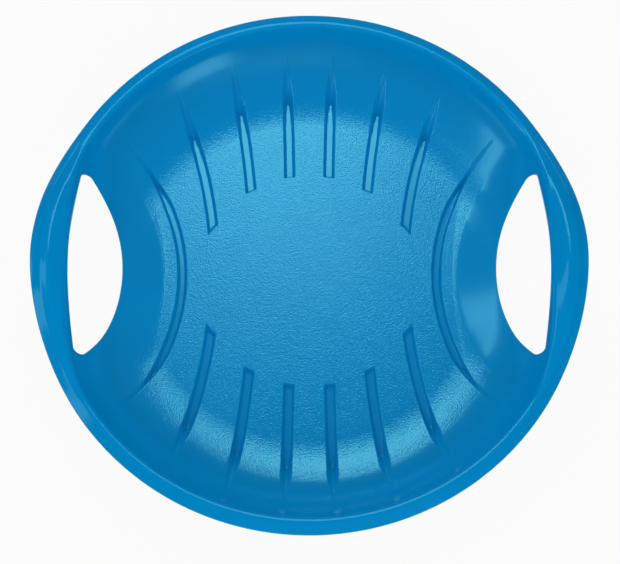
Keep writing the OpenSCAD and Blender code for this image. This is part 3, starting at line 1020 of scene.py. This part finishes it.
# lean, turn and roll are degrees off the vertical, round from +X and about the lamp's own axis;
# distance and size are metres, and reflected says whether the plastic mirrors the lamp
Lamp = namedtuple("Lamp", "lean turn roll distance width height radiance shape reflected")
LAMPS = {
    "rear octabox": Lamp(38, 96, 0, 1.9, 0.92, 1.36, 3.3, "ELLIPSE", True),
    "left strip": Lamp(51, 187, 28, 3.0, 0.75, 3.0, 1.8, "RECTANGLE", True),
    "front strip": Lamp(78, -54, 0, 3.0, 0.95, 1.1, 1.6, "RECTANGLE", True),
    "front fill": Lamp(60, -78, 0, 3.0, 2.4, 1.4, 2.7, "RECTANGLE", False),
}


def soft_box(name, lamp):
    """A studio lamp that faces the object from a direction."""
    light = bpy.data.lights.new(name, "AREA")
    light.shape = lamp.shape
    light.size, light.size_y = lamp.width, lamp.height
    area = lamp.width * lamp.height * (math.pi / 4 if lamp.shape == "ELLIPSE" else 1)
    light.energy = lamp.radiance * math.pi * area
    box = bpy.data.objects.new(name, light)
    lean, turn = math.radians(lamp.lean), math.radians(lamp.turn)
    away = Vector(
        (math.sin(lean) * math.cos(turn), math.sin(lean) * math.sin(turn), math.cos(lean))
    )
    box.location = away * lamp.distance
    face = away.to_track_quat("Z", "Y") @ Quaternion((0, 0, 1), math.radians(lamp.roll))
    box.rotation_euler = face.to_euler()
    box.visible_glossy = lamp.reflected
    bpy.context.scene.collection.objects.link(box)


# Strength of the even fill on the object, and of the dim room that the plastic mirrors
FILL_LEVEL, ROOM_LEVEL = 0.475, 0.01


def studio_world(scene):
    """Even white fill; the dark room round the lamps is what polished plastic reflects."""
    world = bpy.data.worlds.new("studio")
    world.use_nodes = True
    tree = world.node_tree
    tree.nodes.clear()
    path = add_node(tree, "ShaderNodeLightPath")
    level = add_node(
        tree,
        "ShaderNodeMapRange",
        {"To Min": FILL_LEVEL, "To Max": ROOM_LEVEL},
        {"Value": path.outputs["Is Glossy Ray"]},
    )
    glow = add_node(
        tree,
        "ShaderNodeBackground",
        {"Color": (1, 1, 1, 1)},
        {"Strength": level.outputs["Result"]},
    )
    add_node(tree, "ShaderNodeOutputWorld", links={"Surface": glow.outputs["Background"]})
    scene.world = world


class SLED_OT_stage(Operator):
    """Sets the paper floor, the studio lamps and the camera at the photograph's angle"""

    bl_idname = "sled.stage"
    bl_label = "Stage"

    def execute(self, context):
        scene = context.scene
        stage = scene.sled_stage
        section, _ = sheet_parts()
        half = stage.paper_half
        mesh = bpy.data.meshes.new("paper_floor")
        corners = [(-half, -half, 0), (half, -half, 0), (half, half, 0), (-half, half, 0)]
        mesh.from_pydata(corners, [], [(0, 1, 2, 3)])
        paper = bpy.data.objects.new("paper_floor", mesh)
        paper.data.materials.append(matt_paper())
        scene.collection.objects.link(paper)

        for name, lamp in LAMPS.items():
            soft_box(name, lamp)
        studio_world(scene)

        data = bpy.data.cameras.new("camera")
        data.lens = stage.lens_mm
        data.sensor_width = 36
        data.shift_x, data.shift_y = stage.shift_x, stage.shift_y
        camera = bpy.data.objects.new("camera", data)
        back = Vector((0, -math.sin(stage.camera_tilt), math.cos(stage.camera_tilt)))
        target = Vector((0, 0, section.floor_z))
        camera.location = target + back * stage.camera_distance
        camera.rotation_euler = (-back).to_track_quat("-Z", "Y").to_euler()
        scene.collection.objects.link(camera)
        scene.camera = camera
        scene.view_settings.view_transform = "Standard"
        return {"FINISHED"}


STEPS = ("stage", "floor", "walls", "side_walls", "cross_ribs", "side_ribs", "rims", "handles")


class SLED_PT_panel(Panel):
    """Lists the sizes, the finish and the steps"""

    bl_idname = "SLED_PT_panel"
    bl_label = "Saucer Sled"
    bl_space_type = "VIEW_3D"
    bl_region_type = "UI"
    bl_category = "Sled"

    def draw(self, context):
        for group in ("sled_sizes", "sled_finish", "sled_stage"):
            values = getattr(context.scene, group)
            box = self.layout.box()
            for name in type(values).__annotations__:
                box.prop(values, name)
        for step in STEPS:
            self.layout.operator(f"sled.{step}")


CLASSES = (
    SledSizes,
    SledFinish,
    SledStage,
    SLED_OT_floor,
    SLED_OT_walls,
    SLED_OT_side_walls,
    SLED_OT_cross_ribs,
    SLED_OT_side_ribs,
    SLED_OT_rims,
    SLED_OT_handles,
    SLED_OT_stage,
    SLED_PT_panel,
)


def register():
    for cls in CLASSES:
        bpy.utils.register_class(cls)
    bpy.types.Scene.sled_sizes = PointerProperty(type=SledSizes)
    bpy.types.Scene.sled_finish = PointerProperty(type=SledFinish)
    bpy.types.Scene.sled_stage = PointerProperty(type=SledStage)


def unregister():
    for name in ("sled_sizes", "sled_finish", "sled_stage"):
        delattr(bpy.types.Scene, name)
    for cls in reversed(CLASSES):
        bpy.utils.unregister_class(cls)


def main():
    register()
    for step in STEPS:
        getattr(bpy.ops.sled, step)()


if __name__ == "__main__":
    main()
